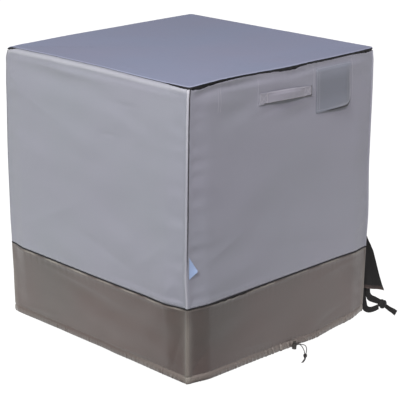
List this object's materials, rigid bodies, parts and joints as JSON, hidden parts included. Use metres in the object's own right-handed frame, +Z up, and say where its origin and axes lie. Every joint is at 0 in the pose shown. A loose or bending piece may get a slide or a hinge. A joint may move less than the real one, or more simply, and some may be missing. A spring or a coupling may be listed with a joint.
{
  "type": "fitted cloth cover for a square outdoor air conditioner",
  "caption": "Square fitted outdoor cover with grey walls, a dark lower band with a drawcord hem, corded seams, a strap handle, a hooded vent and tie tapes.",
  "frame": {"origin": "middle of the underside of the top, where the cover rests on the unit's top", "axes": "+Z up, the front with the handle and the vent faces -Y, the flap and the ties are on the +X side"},
  "size_m": [1.1255, 0.9792, 1.094],
  "materials": {
    "top_cloth": "coated woven polyester, bluish grey, soft satin sheen",
    "wall_cloth": "coated woven polyester, light grey, soft satin sheen",
    "handle_cloth": "doubled strap of the wall's grey cloth, edge stitched",
    "vent_cloth": "single layer of the wall's grey cloth with a turned edge",
    "band_cloth": "coated woven polyester, taupe, a little shinier than the walls",
    "piping": "cord wrapped in dark cloth",
    "flap_cloth": "matte black woven cloth with a brownish turned hem",
    "tie_webbing": "flat woven black tape",
    "label_cloth": "pale blue satin weave, blank",
    "lock_plastic": "moulded dark grey plastic",
    "cord": "thin braided dark cord"
  },
  "bodies": {
    "root": {"top_panel": "top_cloth", "top_piping": "piping", "wall_front": "wall_cloth", "wall_right": "wall_cloth", "wall_back": "wall_cloth", "wall_left": "wall_cloth", "band_piping": "piping", "band_front": "band_cloth", "band_right": "band_cloth", "band_back": "band_cloth", "band_left": "band_cloth", "handle": "handle_cloth", "vent_hood": "vent_cloth", "label": "label_cloth", "side_flap": "flap_cloth", "tie_upper": "tie_webbing", "tie_lower": "tie_webbing", "tie_knot": "tie_webbing", "tie_end": "tie_webbing", "cord_lock": "lock_plastic", "drawcord_inner": "cord", "drawcord_outer": "cord", "drawcord_knot": "cord", "drawcord_ends": "cord"}
  },
  "joints": []
}
